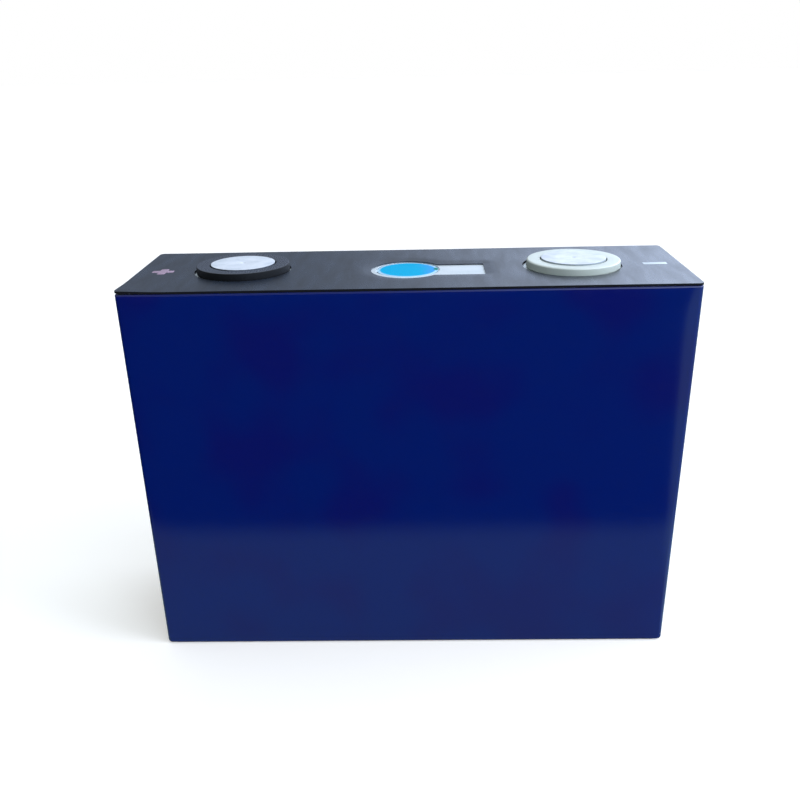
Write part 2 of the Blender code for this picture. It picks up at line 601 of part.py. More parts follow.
def make_pouch():
    """Insulating bag around both rolls, open at the top."""
    outside = cell_outline(POUCH_INSET)
    inside = cell_outline(POUCH_INSET + POUCH_WALL)
    top = LID_BOTTOM - POUCH_BELOW_LID
    loft("insulating_pouch", [(outside, POUCH_BOTTOM), (outside, top), (inside, top),
                              (inside, POUCH_BOTTOM + POUCH_WALL)], CLEAR_PLASTIC)


def make_base_plate():
    """Support plate under the pouch, with a row of holes that let electrolyte through."""
    base = plate("bottom_plate", cell_outline(POUCH_INSET + GAP), BASE_PLATE_BOTTOM,
                 BASE_PLATE_TOP, CLEAR_PLASTIC)
    holes = []
    for i in range(BASE_PLATE_HOLE_COUNT):
        x = (i - (BASE_PLATE_HOLE_COUNT - 1) / 2) * BASE_PLATE_HOLE_PITCH
        holes.append(plate("cut_base_hole_%d" % i, circle(x, 0.0, BASE_PLATE_HOLE_RADIUS, HOLE_STEPS),
                           BASE_PLATE_BOTTOM - OVERSHOOT, BASE_PLATE_TOP + OVERSHOOT, None))
    cut(base, *holes)


def build():
    clear_scene()
    make_film_wrap()
    make_top_sheet()
    make_can()
    make_lid_plate()
    make_filling_port()
    make_vent()
    make_terminal("positive", -1, BLACK_PLASTIC, ALUMINIUM)
    make_terminal("negative", 1, WHITE_PLASTIC, COPPER)
    make_lower_insulator("positive", -1)
    make_lower_insulator("negative", 1)
    make_vent_guard()
    make_collector("positive", -1, ALUMINIUM, fused=True)
    make_collector("negative", 1, COPPER, fused=False)
    make_tabs("positive", -1, ALUMINIUM)
    make_tabs("negative", 1, COPPER)
    make_roll("front", -1)
    make_roll("back", 1)
    make_pouch()
    make_base_plate()


build()
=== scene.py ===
# A prismatic LFP cell dressed around its CAD frame: blue film, black top sheet, round terminals, burst vent
import math
import bmesh
import bpy
from mathutils import Matrix, Vector


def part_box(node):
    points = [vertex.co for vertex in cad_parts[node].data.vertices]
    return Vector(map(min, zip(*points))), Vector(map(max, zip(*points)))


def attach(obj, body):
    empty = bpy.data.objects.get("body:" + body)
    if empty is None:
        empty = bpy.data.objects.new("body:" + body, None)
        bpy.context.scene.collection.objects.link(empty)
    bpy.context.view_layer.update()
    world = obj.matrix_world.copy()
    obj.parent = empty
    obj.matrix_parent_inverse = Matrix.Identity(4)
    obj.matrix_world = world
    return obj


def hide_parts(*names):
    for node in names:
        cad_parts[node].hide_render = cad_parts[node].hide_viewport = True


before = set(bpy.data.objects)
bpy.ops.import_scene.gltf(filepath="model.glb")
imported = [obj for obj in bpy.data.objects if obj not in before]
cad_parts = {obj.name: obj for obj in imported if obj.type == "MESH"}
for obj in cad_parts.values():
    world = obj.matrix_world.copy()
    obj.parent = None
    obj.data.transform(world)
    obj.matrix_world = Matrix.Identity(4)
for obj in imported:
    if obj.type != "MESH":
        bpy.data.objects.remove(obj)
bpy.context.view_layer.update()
mm = 0.001  # the dictionaries below hold millimetres, unless a note beside them says otherwise
weldDistance = 1e-7  # metres; points closer than this are one point
creaseAngle = 32.0  # degrees; sharper edges stay crisp


# small tools for meshes

def arcPoints(centreX, centreY, radius, start, end, steps):
    turn = (end - start) / steps
    return [(centreX + radius * math.cos(start + turn * i), centreY + radius * math.sin(start + turn * i))
            for i in range(steps + 1)]


def roundedRect(halfX, halfY, radius, cornerSteps, sharesX=(), sharesY=()):
    # counter-clockwise from the +X +Y corner; the shares put extra points along the straight sides
    arcs = []
    for quarter, (signX, signY) in enumerate(((1, 1), (-1, 1), (-1, -1), (1, -1))):
        start = quarter * 0.5 * math.pi
        arcs.append(arcPoints(signX * (halfX - radius), signY * (halfY - radius), radius,
                              start, start + 0.5 * math.pi, cornerSteps))
    points = []
    for quarter, arc in enumerate(arcs):
        points += arc
        (x0, y0), (x1, y1) = arc[-1], arcs[(quarter + 1) % 4][0]
        shares = sharesY if quarter % 2 else sharesX
        ordered = shares if quarter < 2 else [1.0 - share for share in reversed(shares)]
        points += [(x0 + (x1 - x0) * share, y0 + (y1 - y0) * share) for share in ordered]
    return points


def makeObject(name, data, material):
    bmesh.ops.recalc_face_normals(data, faces=data.faces)
    mesh = bpy.data.meshes.new(name)
    data.to_mesh(mesh)
    data.free()
    piece = bpy.data.objects.new(name, mesh)
    bpy.context.scene.collection.objects.link(piece)
    mesh.shade_smooth()
    mesh.set_sharp_from_angle(angle=math.radians(creaseAngle))
    if material:
        mesh.materials.append(material)
    return piece


def skinned(name, loops, material):
    # joins outlines of equal length into one closed skin, capped at its first and last outline
    data = bmesh.new()
    rings = [[data.verts.new(point) for point in loop] for loop in loops]
    data.faces.new(rings[0])
    data.faces.new(rings[-1])
    for lower, upper in zip(rings, rings[1:]):
        for i in range(len(lower)):
            data.faces.new((lower[i - 1], lower[i], upper[i], upper[i - 1]))
    return makeObject(name, data, material)


def turned(name, profile, centre, material):
    # spins a closed (radius, height) profile about an upright axis
    steps = 144
    data = bmesh.new()
    corners = [data.verts.new((centre[0] + radius, centre[1], height)) for radius, height in profile]
    edges = [data.edges.new((corners[i - 1], corners[i])) for i in range(len(corners))]
    bmesh.ops.spin(data, geom=corners + edges, cent=(centre[0], centre[1], 0.0), axis=(0.0, 0.0, 1.0),
                   angle=2.0 * math.pi, steps=steps, use_merge=True)
    bmesh.ops.remove_doubles(data, verts=data.verts, dist=weldDistance)
    bmesh.ops.delete(data, geom=[edge for edge in data.edges if not edge.link_faces], context="EDGES")
    return makeObject(name, data, material)


def cutAway(piece, cutters):
    # takes the cutters out of the piece and throws them away
    for cutter in cutters:
        step = piece.modifiers.new(cutter.name, "BOOLEAN")
        step.operation = "DIFFERENCE"
        step.solver = "EXACT"
        step.object = cutter
    bpy.context.view_layer.update()
    result = piece.evaluated_get(bpy.context.evaluated_depsgraph_get())
    mesh = bpy.data.meshes.new_from_object(result)
    piece.modifiers.clear()
    piece.data = mesh
    for cutter in cutters:
        bpy.data.objects.remove(cutter)


def smoothStep(low, high, value):
    share = min(1.0, max(0.0, (value - low) / (high - low)))
    return share * share * (3.0 - 2.0 * share)


# small tools for materials

def hexColour(code):
    # sRGB hex to the linear colour that the shaders work in
    channels = [int(code[i:i + 2], 16) / 255.0 for i in (1, 3, 5)]
    linear = [c / 12.92 if c <= 0.04045 else ((c + 0.055) / 1.055) ** 2.4 for c in channels]
    return (*linear, 1.0)


def plug(tree, node, inputs):
    for name, value in inputs.items():
        if isinstance(value, bpy.types.NodeSocket):
            tree.links.new(value, node.inputs[name])
        else:
            node.inputs[name].default_value = value


def addNode(tree, kind, settings, inputs):
    node = tree.nodes.new("ShaderNode" + kind)
    for name, value in settings.items():
        setattr(node, name, value)
    plug(tree, node, inputs)
    return node


def newMaterial(name):
    material = bpy.data.materials.new(name)
    material.use_nodes = True
    tree = material.node_tree
    place = addNode(tree, "TexCoord", {}, {}).outputs["Object"]
    return material, tree, tree.nodes["Principled BSDF"], place


def perMetre(size):
    # texture scale at which one feature is this many millimetres
    return 1000.0 / size


# materials

filmLook = {"blue": "#001353", "violet": "#050d4f", "patch": 26.0, "patchEdge": (0.42, 0.68),
            "peel": 3.0, "peelHeight": 0.0022, "scuff": 0.5, "scuffStretch": (0.06, 0.06, 1.0),
            "roughness": (0.07, 0.15), "ior": 1.57}


def bluePetFilm():
    # dyed PET film 0.1 mm thick on acrylic glue: deep glossy blue, a violet cast in patches and a faint
    # orange peel where the glue has set unevenly
    look = filmLook
    material, tree, shader, place = newMaterial("bluePetFilm")
    patch = addNode(tree, "TexNoise", {},
                    {"Vector": place, "Scale": perMetre(look["patch"]), "Detail": 1.0})
    share = addNode(tree, "MapRange", {"interpolation_type": "SMOOTHSTEP"},
                    {"Value": patch.outputs["Fac"], "From Min": look["patchEdge"][0],
                     "From Max": look["patchEdge"][1]})
    tint = addNode(tree, "Mix", {"data_type": "RGBA"},
                   {0: share.outputs[0], 6: hexColour(look["blue"]), 7: hexColour(look["violet"])})
    stretched = addNode(tree, "Mapping", {}, {"Vector": place, "Scale": look["scuffStretch"]})
    scuff = addNode(tree, "TexNoise", {},
                    {"Vector": stretched.outputs[0], "Scale": perMetre(look["scuff"]), "Detail": 4.0})
    gloss = addNode(tree, "MapRange", {},
                    {"Value": scuff.outputs["Fac"], "From Min": 0.3, "From Max": 0.8,
                     "To Min": look["roughness"][0], "To Max": look["roughness"][1]})
    peel = addNode(tree, "TexNoise", {}, {"Vector": place, "Scale": perMetre(look["peel"]), "Detail": 2.0})
    bump = addNode(tree, "Bump", {}, {"Height": peel.outputs["Fac"], "Distance": look["peelHeight"] * mm})
    plug(tree, shader, {"Base Color": tint.outputs[2], "Roughness": gloss.outputs[0], "IOR": look["ior"],
                        "Normal": bump.outputs[0]})
    return material


sheetLook = {"dark": "#161b25", "light": "#2a3341", "mottle": (0.75, 1.25), "grain": 0.6,
             "grainHeight": 0.006, "streak": 5.0, "streakStretch": (1.6, 0.3, 1.0),
             "roughness": (0.35, 0.25), "ior": 1.6}


def blackFibreSheet():
    # calendered insulating board printed black: satin, with a fine mottle and faint streaks across it
    look = sheetLook
    material, tree, shader, place = newMaterial("blackFibreSheet")
    grain = addNode(tree, "TexNoise", {}, {"Vector": place, "Scale": perMetre(look["grain"]), "Detail": 5.0,
                                           "Roughness": 0.65})
    stretched = addNode(tree, "Mapping", {}, {"Vector": place, "Scale": look["streakStretch"]})
    streak = addNode(tree, "TexNoise", {},
                     {"Vector": stretched.outputs[0], "Scale": perMetre(look["streak"]), "Detail": 3.0})
    both = addNode(tree, "Math", {"operation": "ADD"}, {0: grain.outputs["Fac"], 1: streak.outputs["Fac"]})
    low, high = look["mottle"]
    share = addNode(tree, "MapRange", {}, {"Value": both.outputs[0], "From Min": low, "From Max": high})
    tone = addNode(tree, "Mix", {"data_type": "RGBA"},
                   {0: share.outputs[0], 6: hexColour(look["dark"]), 7: hexColour(look["light"])})
    gloss = addNode(tree, "MapRange", {}, {"Value": both.outputs[0], "From Min": low, "From Max": high,
                                           "To Min": look["roughness"][0], "To Max": look["roughness"][1]})
    bump = addNode(tree, "Bump", {}, {"Height": grain.outputs["Fac"], "Distance": look["grainHeight"] * mm})
    plug(tree, shader, {"Base Color": tone.outputs[2], "Roughness": gloss.outputs[0], "IOR": look["ior"],
                        "Normal": bump.outputs[0]})
    return material


cutEdgeShadeLook = {"dark": "#04040a", "light": "#0c0c14", "fibre": 0.4, "roughness": 0.75, "specular": 0.2}


def boardCutEdgeAndShade():
    # the sheet's guillotined edge: raw black fibre, dull; its near black is partly the real edge and partly
    # painted shadow of the gap under the sheet
    look = cutEdgeShadeLook
    material, tree, shader, place = newMaterial("boardCutEdgeAndShade")
    fibre = addNode(tree, "TexNoise", {},
                    {"Vector": place, "Scale": perMetre(look["fibre"]), "Detail": 3.0})
    tone = addNode(tree, "Mix", {"data_type": "RGBA"},
                   {0: fibre.outputs["Fac"], 6: hexColour(look["dark"]), 7: hexColour(look["light"])})
    plug(tree, shader, {"Base Color": tone.outputs[2], "Roughness": look["roughness"],
                        "Specular IOR Level": look["specular"]})
    return material


ventFilmLook = {"cyan": "#00a9d4", "paintedReflection": "#3f9ede", "paintedReflectionEdge": (0.55, 1.15), "cloud": 6.0, "cloudLean": 0.5,
                "cloudHeight": 0.02, "rim": "#b4d6ea", "rimEdge": (1.125, 0.45), "spot": "#1f8078",
                "spotInset": 0.6, "spotY": 0.4, "spotEdge": (0.96, 0.4), "spotLength": 2.6,
                "roughness": 0.3, "specular": 0.01}


def cyanVentFilm(centre, radius):
    # thin polyester disc printed cyan on its underside: an even, bright colour with almost no reflection,
    # paler in a band round its rim, with a short stroke of green glue across its right end and a paler blue
    # painted over its right side as a painted reflection. The reflection's edge is in shares of the radius,
    # and the rim and spot edges say where each starts and ends
    look = ventFilmLook
    material, tree, shader, place = newMaterial("cyanVentFilm")
    local = addNode(tree, "VectorMath", {"operation": "SUBTRACT"}, {0: place, 1: centre})
    reach = addNode(tree, "VectorMath", {"operation": "LENGTH"}, {0: local.outputs[0]})
    axes = addNode(tree, "SeparateXYZ", {}, {0: local.outputs[0]})
    cloud = addNode(tree, "TexNoise", {},
                    {"Vector": place, "Scale": perMetre(look["cloud"]), "Detail": 2.0})
    lean = addNode(tree, "Math", {"operation": "MULTIPLY_ADD"},
                   {0: cloud.outputs["Fac"], 1: look["cloudLean"] * radius, 2: axes.outputs[0]})
    reflectionFrom, reflectionTo = (share * radius for share in look["paintedReflectionEdge"])
    side = addNode(tree, "MapRange", {"interpolation_type": "SMOOTHSTEP"},
                   {"Value": lean.outputs[0], "From Min": reflectionFrom, "From Max": reflectionTo})
    face = addNode(tree, "Mix", {"data_type": "RGBA"},
                   {0: side.outputs[0], 6: hexColour(look["cyan"]), 7: hexColour(look["paintedReflection"])})
    rimFrom, rimTo = (radius - inset * mm for inset in look["rimEdge"])
    rim = addNode(tree, "MapRange", {"interpolation_type": "SMOOTHSTEP"},
                  {"Value": reach.outputs["Value"], "From Min": rimFrom, "From Max": rimTo})
    edged = addNode(tree, "Mix", {"data_type": "RGBA"},
                    {0: rim.outputs[0], 6: face.outputs[2], 7: hexColour(look["rim"])})
    spotCentre = (radius - look["spotInset"] * mm, look["spotY"] * mm, 0.0)
    spotPlace = addNode(tree, "VectorMath", {"operation": "SUBTRACT"}, {0: local.outputs[0], 1: spotCentre})
    spotShape = addNode(tree, "VectorMath", {"operation": "MULTIPLY"},
                        {0: spotPlace.outputs[0], 1: (1.0, 1.0 / look["spotLength"], 1.0)})
    spotReach = addNode(tree, "VectorMath", {"operation": "LENGTH"}, {0: spotShape.outputs[0]})
    spotFrom, spotTo = (radiusThere * mm for radiusThere in look["spotEdge"])
    spot = addNode(tree, "MapRange", {"interpolation_type": "SMOOTHSTEP"},
                   {"Value": spotReach.outputs["Value"], "From Min": spotFrom, "From Max": spotTo})
    final = addNode(tree, "Mix", {"data_type": "RGBA"},
                    {0: spot.outputs[0], 6: edged.outputs[2], 7: hexColour(look["spot"])})
    bump = addNode(tree, "Bump", {}, {"Height": cloud.outputs["Fac"], "Distance": look["cloudHeight"] * mm})
    plug(tree, shader, {"Base Color": final.outputs[2], "Roughness": look["roughness"],
                        "Specular IOR Level": look["specular"], "Normal": bump.outputs[0]})
    return material


metalLook = {"cloud": 9.0, "mottle": (0.7, 1.3), "roughnessSpread": 0.06, "lineHeight": 0.004}


def streakedMetal(name, colours, stretch, spacing, roughness, metallic=1.0):
    # rolled, drawn or turned metal: fine lines along one direction, with cloudy patches of duller oxide
    look = metalLook
    material, tree, shader, place = newMaterial(name)
    stretched = addNode(tree, "Mapping", {}, {"Vector": place, "Scale": stretch})
    lines = addNode(tree, "TexNoise", {}, {"Vector": stretched.outputs[0], "Scale": perMetre(spacing),
                                           "Detail": 4.0, "Roughness": 0.6})
    cloud = addNode(tree, "TexNoise", {},
                    {"Vector": place, "Scale": perMetre(look["cloud"]), "Detail": 3.0})
    both = addNode(tree, "Math", {"operation": "ADD"}, {0: lines.outputs["Fac"], 1: cloud.outputs["Fac"]})
    low, high = look["mottle"]
    share = addNode(tree, "MapRange", {}, {"Value": both.outputs[0], "From Min": low, "From Max": high})
    tone = addNode(tree, "Mix", {"data_type": "RGBA"},
                   {0: share.outputs[0], 6: hexColour(colours[0]), 7: hexColour(colours[1])})
    spread = look["roughnessSpread"]
    gloss = addNode(tree, "MapRange", {}, {"Value": both.outputs[0], "From Min": low, "From Max": high,
                                           "To Min": roughness + spread, "To Max": roughness - spread})
    bump = addNode(tree, "Bump", {}, {"Height": lines.outputs["Fac"], "Distance": look["lineHeight"] * mm})
    plug(tree, shader, {"Base Color": tone.outputs[2], "Roughness": gloss.outputs[0], "Metallic": metallic,
                        "Normal": bump.outputs[0]})
    return material


padLook = {"bright": "#e9ecf2", "dull": "#ced4dc", "groove": 0.42, "grooveHeight": 0.003, "cloud": 4.5,
           "cloudEdge": (0.35, 0.65), "roughness": (0.58, 0.42), "metallic": 0.15}


def facedAluminium(centreX, height):
    # terminal pads faced on a lathe and left bare: near white, matt, with fine rings round each middle.
    # The real feed marks are about 0.1 mm apart, and are drawn four times as coarse so that they show.
    # Folding X by its absolute value puts the rings round both pads
    look = padLook
    material, tree, shader, place = newMaterial("facedAluminium")
    folded = addNode(tree, "VectorMath", {"operation": "ABSOLUTE"}, {0: place})
    local = addNode(tree, "VectorMath", {"operation": "SUBTRACT"},
                    {0: folded.outputs[0], 1: (centreX, 0.0, height)})
    reach = addNode(tree, "VectorMath", {"operation": "LENGTH"}, {0: local.outputs[0]})
    turns = addNode(tree, "Math", {"operation": "MULTIPLY"},
                    {0: reach.outputs["Value"], 1: 2.0 * math.pi * perMetre(look["groove"])})
    groove = addNode(tree, "Math", {"operation": "SINE"}, {0: turns.outputs[0]})
    cloud = addNode(tree, "TexNoise", {}, {"Vector": place, "Scale": perMetre(look["cloud"]), "Detail": 4.0,
                                           "Roughness": 0.6})
    share = addNode(tree, "MapRange", {},
                    {"Value": cloud.outputs["Fac"], "From Min": look["cloudEdge"][0],
                     "From Max": look["cloudEdge"][1]})
    tone = addNode(tree, "Mix", {"data_type": "RGBA"},
                   {0: share.outputs[0], 6: hexColour(look["dull"]), 7: hexColour(look["bright"])})
    gloss = addNode(tree, "MapRange", {}, {"Value": cloud.outputs["Fac"], "From Min": 0.3, "From Max": 0.7,
                                           "To Min": look["roughness"][0], "To Max": look["roughness"][1]})
    bump = addNode(tree, "Bump", {}, {"Height": groove.outputs[0], "Distance": look["grooveHeight"] * mm})
    plug(tree, shader, {"Base Color": tone.outputs[2], "Roughness": gloss.outputs[0],
                        "Metallic": look["metallic"], "Normal": bump.outputs[0]})
    return material


plasticLook = {"flow": 6.0, "roughnessSpread": 0.05}


def mouldedPlastic(name, colours, roughness, grain, grainHeight, ior=1.5):
    # injection-moulded or extruded polymer: a faint cloudy flow in the colour and a fine skin texture
    look = plasticLook
    material, tree, shader, place = newMaterial(name)
    flow = addNode(tree, "TexNoise", {}, {"Vector": place, "Scale": perMetre(look["flow"]), "Detail": 3.0})
    tone = addNode(tree, "Mix", {"data_type": "RGBA"},
                   {0: flow.outputs["Fac"], 6: hexColour(colours[0]), 7: hexColour(colours[1])})
    skin = addNode(tree, "TexNoise", {}, {"Vector": place, "Scale": perMetre(grain), "Detail": 4.0})
    spread = look["roughnessSpread"]
    gloss = addNode(tree, "MapRange", {}, {"Value": skin.outputs["Fac"], "From Min": 0.3, "From Max": 0.7,
                                           "To Min": roughness - spread, "To Max": roughness + spread})
    bump = addNode(tree, "Bump", {}, {"Height": skin.outputs["Fac"], "Distance": grainHeight * mm})
    plug(tree, shader, {"Base Color": tone.outputs[2], "Roughness": gloss.outputs[0], "IOR": ior,
                        "Normal": bump.outputs[0]})
    return material


inkLook = {"speckle": 0.9, "wornEdge": (0.6, 0.9), "speckleHeight": 0.006, "roughness": 0.55}


def printedInk(name, colour, under):
    # screen-printed ink, thin enough in places for the black board to show through
    look = inkLook
    material, tree, shader, place = newMaterial(name)
    speckle = addNode(tree, "TexNoise", {},
                      {"Vector": place, "Scale": perMetre(look["speckle"]), "Detail": 3.0})
    share = addNode(tree, "MapRange", {"interpolation_type": "SMOOTHSTEP"},
                    {"Value": speckle.outputs["Fac"], "From Min": look["wornEdge"][0],
                     "From Max": look["wornEdge"][1]})
    tone = addNode(tree, "Mix", {"data_type": "RGBA"},
                   {0: share.outputs[0], 6: hexColour(colour), 7: hexColour(under)})
    bump = addNode(tree, "Bump", {},
                   {"Height": speckle.outputs["Fac"], "Distance": look["speckleHeight"] * mm})
    plug(tree, shader, {"Base Color": tone.outputs[2], "Roughness": look["roughness"],
                        "Normal": bump.outputs[0]})
    return material


separatorLook = {"dark": "#cfcfca", "light": "#f0f0ec", "line": 1.2, "lineStretch": (1.0, 1.0, 0.04),
                 "lineHeight": 0.03, "roughness": 0.7}


def woundSeparator():
    # ceramic-coated polyolefin separator: matt white, with the faint upright lines of its winding
    look = separatorLook
    material, tree, shader, place = newMaterial("woundSeparator")
    stretched = addNode(tree, "Mapping", {}, {"Vector": place, "Scale": look["lineStretch"]})
    lines = addNode(tree, "TexNoise", {},
                    {"Vector": stretched.outputs[0], "Scale": perMetre(look["line"]), "Detail": 4.0})
    tone = addNode(tree, "Mix", {"data_type": "RGBA"},
                   {0: lines.outputs["Fac"], 6: hexColour(look["dark"]), 7: hexColour(look["light"])})
    bump = addNode(tree, "Bump", {}, {"Height": lines.outputs["Fac"], "Distance": look["lineHeight"] * mm})
    plug(tree, shader, {"Base Color": tone.outputs[2], "Roughness": look["roughness"],
                        "Normal": bump.outputs[0]})
    return material


padLow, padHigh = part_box("negative_pad")
padCentreX = 0.5 * (padLow.x + padHigh.x)
ventLow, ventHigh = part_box("vent_film")
ventCentre = 0.5 * (ventLow + ventHigh)
ventRadius = 0.5 * (ventHigh.x - ventLow.x)

blueFilm = bluePetFilm()
blackSheet = blackFibreSheet()
cutEdgeAndShade = boardCutEdgeAndShade()
ventCyan = cyanVentFilm(tuple(ventCentre), ventRadius)
# scales that stretch a metal's lines along one direction: the smaller the number, the longer the lines
upright = (1.0, 1.0, 0.03)
lengthways = (0.03, 1.0, 1.0)
alongStrip = (0.05, 1.0, 1.0)
downTheSide = (1.0, 1.0, 0.2)
# the lid's mill finish: bright, with rolling lines along its length, drawn coarser than the real ones
rolledAluminium = streakedMetal("rolledAluminium", ("#dde6ea", "#fafeff"), lengthways, spacing=0.3,
                                roughness=0.46, metallic=0.8)
# the can is deep drawn, so its lines run upright
drawnAluminium = streakedMetal("drawnAluminium", ("#b9bec4", "#dfe3e7"), upright, spacing=0.4, roughness=0.36)
# bare copper foil and strip: salmon, browner where it has tarnished
copper = streakedMetal("tarnishedCopper", ("#a8613e", "#d98f66"), alongStrip, spacing=0.4, roughness=0.36)
padAluminium = facedAluminium(padCentreX, padHigh.z)
# the turned sides of the pads: dark grey as painted shade in the gap round each pad, less dark by the white
# ring
darkShadedPadSide = streakedMetal("padSideDarkShade", ("#3e444b", "#5b626a"), downTheSide, spacing=0.5,
                            roughness=0.6, metallic=0.4)
lighterShadedPadSide = streakedMetal("padSideLighterShade", ("#8f989b", "#aab3b5"), downTheSide, spacing=0.5,
                         roughness=0.6, metallic=0.4)
# glass-filled PPS in black: semi-gloss on its face, dull on its side; its face is given a lighter grey as
# painted light and its side a near black as painted shade
blackPpsPaintedLightFace = mouldedPlastic("blackPpsPaintedLightFace", ("#272c37", "#333947"), roughness=0.27, grain=0.35,
                          grainHeight=0.004, ior=1.75)
blackPpsPaintedShadeSide = mouldedPlastic("blackPpsPaintedShadeSide", ("#050608", "#0b0d10"), roughness=0.6, grain=0.35,
                              grainHeight=0.008, ior=1.35)
# the same polymer in natural white, its side given a greyer colour than its face as painted shade
whitePps = mouldedPlastic("whitePps", ("#c8cec3", "#d7dcd2"), roughness=0.36, grain=0.35,
                          grainHeight=0.004, ior=1.6)
whitePpsPaintedShadeSide = mouldedPlastic("whitePpsPaintedShadeSide", ("#a9afa3", "#b7bdb1"), roughness=0.6, grain=0.35,
                              grainHeight=0.008, ior=1.4)
# fluoro-rubber seal: dull, charcoal
sealRubber = mouldedPlastic("fluoroRubber", ("#141414", "#232323"), roughness=0.75, grain=0.25,
                            grainHeight=0.01)
# natural polypropylene sheet and mouldings: milky
naturalPolypropylene = mouldedPlastic("naturalPolypropylene", ("#c6cbca", "#dde1df"), roughness=0.45,
                                      grain=0.8, grainHeight=0.01)
# polyester tape on acrylic glue: bottle green
greenTape = mouldedPlastic("greenPolyesterTape", ("#0c5a2a", "#1a7a3c"), roughness=0.35, grain=1.2,
                           grainHeight=0.01)
separator = woundSeparator()
# screen inks of the two marks: a faded pink for plus and a cold white for minus
plusInk = printedInk("pinkInk", "#a58c9f", "#4a4856")
minusInk = printedInk("whiteInk", "#d9e2ea", "#98a2b0")
print("materials made")


# blue film round the four walls, folded under the base. The edge sharpnesses are powers: the higher, the
# nearer to its edge the broad face starts to fall away

film = {"inset": 0.04, "cornerRadius": 1.5, "cornerSteps": 12, "edgeRadius": 0.8, "lipRadius": 0.6,
        "lipLean": 0.4, "edgeSteps": 6, "rowsUp": 60, "columns": 60, "sideColumns": 12,
        "bulge": 0.22, "edgeSharpX": 26, "edgeSharpZ": 16, "ripple": 0.02,
        "rippleLengths": (17.0, 23.0, 31.0), "rippleSlant": 1.7, "rippleMix": 0.6, "rippleGain": 0.5,
        "seamX": 62.0, "seamStep": 0.05, "seamFade": (66.0, 77.0), "seamPairGap": 0.0005,
        "backFrom": 0.9, "innerInset": 0.52, "innerFloor": 0.45}
flap = {"thickness": 0.1, "topShare": 0.7, "reach": 23.0, "mitre": 17.0, "endGap": 2.0, "soften": 0.03}


def filmShape(x, y, z, halfX, halfY, height):
    # the broad faces stand a little proud in the middle, as a filled can does; one overlap seam at the back
    u = min(1.0, abs(x) / (halfX - film["cornerRadius"] * mm))
    v = min(1.0, abs(2.0 * z / height - 1.0))
    fallAway = 1.0 - (1.0 - u ** film["edgeSharpX"]) * (1.0 - v ** film["edgeSharpZ"])
    newY = y * (1.0 - film["bulge"] * mm * fallAway / halfY)
    lengthX, lengthZ, lengthSlant = (length * mm for length in film["rippleLengths"])
    wave = math.sin(x / lengthX) * math.cos(z / lengthZ)
    wave += film["rippleMix"] * math.sin((x + film["rippleSlant"] * z) / lengthSlant)
    sink = film["ripple"] * mm * (1.0 + film["rippleGain"] * wave) * min(1.0, abs(y) / halfY)
    newY -= math.copysign(sink, y)
    if y > film["backFrom"] * halfY and x > film["seamX"] * mm:
        fadeStart, fadeEnd = film["seamFade"]
        newY += film["seamStep"] * mm * (1.0 - smoothStep(fadeStart, fadeEnd, x / mm))
    return x, newY, z


def makeFilm():
    halfX, halfY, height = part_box("film_wrap")[1]
    # two rows of points close together give the overlap its sharp step
    seamShare = 0.5 - 0.5 * film["seamX"] * mm / (halfX - film["cornerRadius"] * mm)
    seamPair = [seamShare - film["seamPairGap"], seamShare + film["seamPairGap"]]
    sharesX = sorted([i / film["columns"] for i in range(1, film["columns"])] + seamPair)
    sharesY = [i / film["sideColumns"] for i in range(1, film["sideColumns"])]

    def outline(inset, z, shaped=True):
        points = roundedRect(halfX - inset, halfY - inset, film["cornerRadius"] * mm, film["cornerSteps"],
                             sharesX, sharesY)
        if shaped:
            return [filmShape(x, y, z, halfX, halfY, height) for x, y in points]
        return [(x, y, z) for x, y in points]

    inset = film["inset"] * mm
    edge = film["edgeRadius"] * mm
    lip = film["lipRadius"] * mm
    lipReach = film["lipLean"] * lip
    base = flap["thickness"] * mm
    wallTop = height - lip
    turns = [i / film["edgeSteps"] * 0.5 * math.pi for i in range(film["edgeSteps"] + 1)]
    loops = [outline(inset + edge * (1.0 - math.sin(turn)), base + edge * (1.0 - math.cos(turn)))
             for turn in turns]
    for i in range(1, film["rowsUp"] + 1):
        loops.append(outline(inset, base + edge + (wallTop - base - edge) * i / film["rowsUp"]))
    for turn in turns[1:]:
        loops.append(outline(inset + lipReach * (1.0 - math.cos(turn)), wallTop + lip * math.sin(turn)))
    inner = film["innerInset"] * mm
    loops.append(outline(inner, height, shaped=False))
    loops.append(outline(inner, film["innerFloor"] * mm, shaped=False))
    return skinned("blueFilm", loops, blueFilm), halfX, halfY


def makeFlaps(halfX, halfY):
    # the film's long edges, mitred and glued flat under the base
    edge = (film["edgeRadius"] + film["inset"]) * mm
    wide = halfX - edge - flap["endGap"] * mm
    narrow = wide - flap["mitre"] * mm
    pieces = []
    for name, side in (("baseFlapFront", -1), ("baseFlapBack", 1)):
        outer = side * (halfY - edge)
        inner = side * (halfY - edge - flap["reach"] * mm)
        corners = [(wide, outer), (narrow, inner), (-narrow, inner), (-wide, outer)]
        loops = [[(x, y, z) for x, y in corners] for z in (0.0, flap["topShare"] * flap["thickness"] * mm)]
        piece = skinned(name, loops, blueFilm)
        soften = piece.modifiers.new("soften", "BEVEL")
        soften.width = flap["soften"] * mm
        soften.segments = 2
        pieces.append(piece)
    return pieces


filmPiece, halfX, halfY = makeFilm()
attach(filmPiece, "cell")
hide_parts("film_wrap")
for flapPiece in makeFlaps(halfX, halfY):
    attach(flapPiece, "cell")
print("film wrapped")


# black top sheet, a little wavy, its front left corner not quite stuck down. Each hole is (slack round its
# ring, shift in X, shift in Y), and each wave along X is (length, phase)

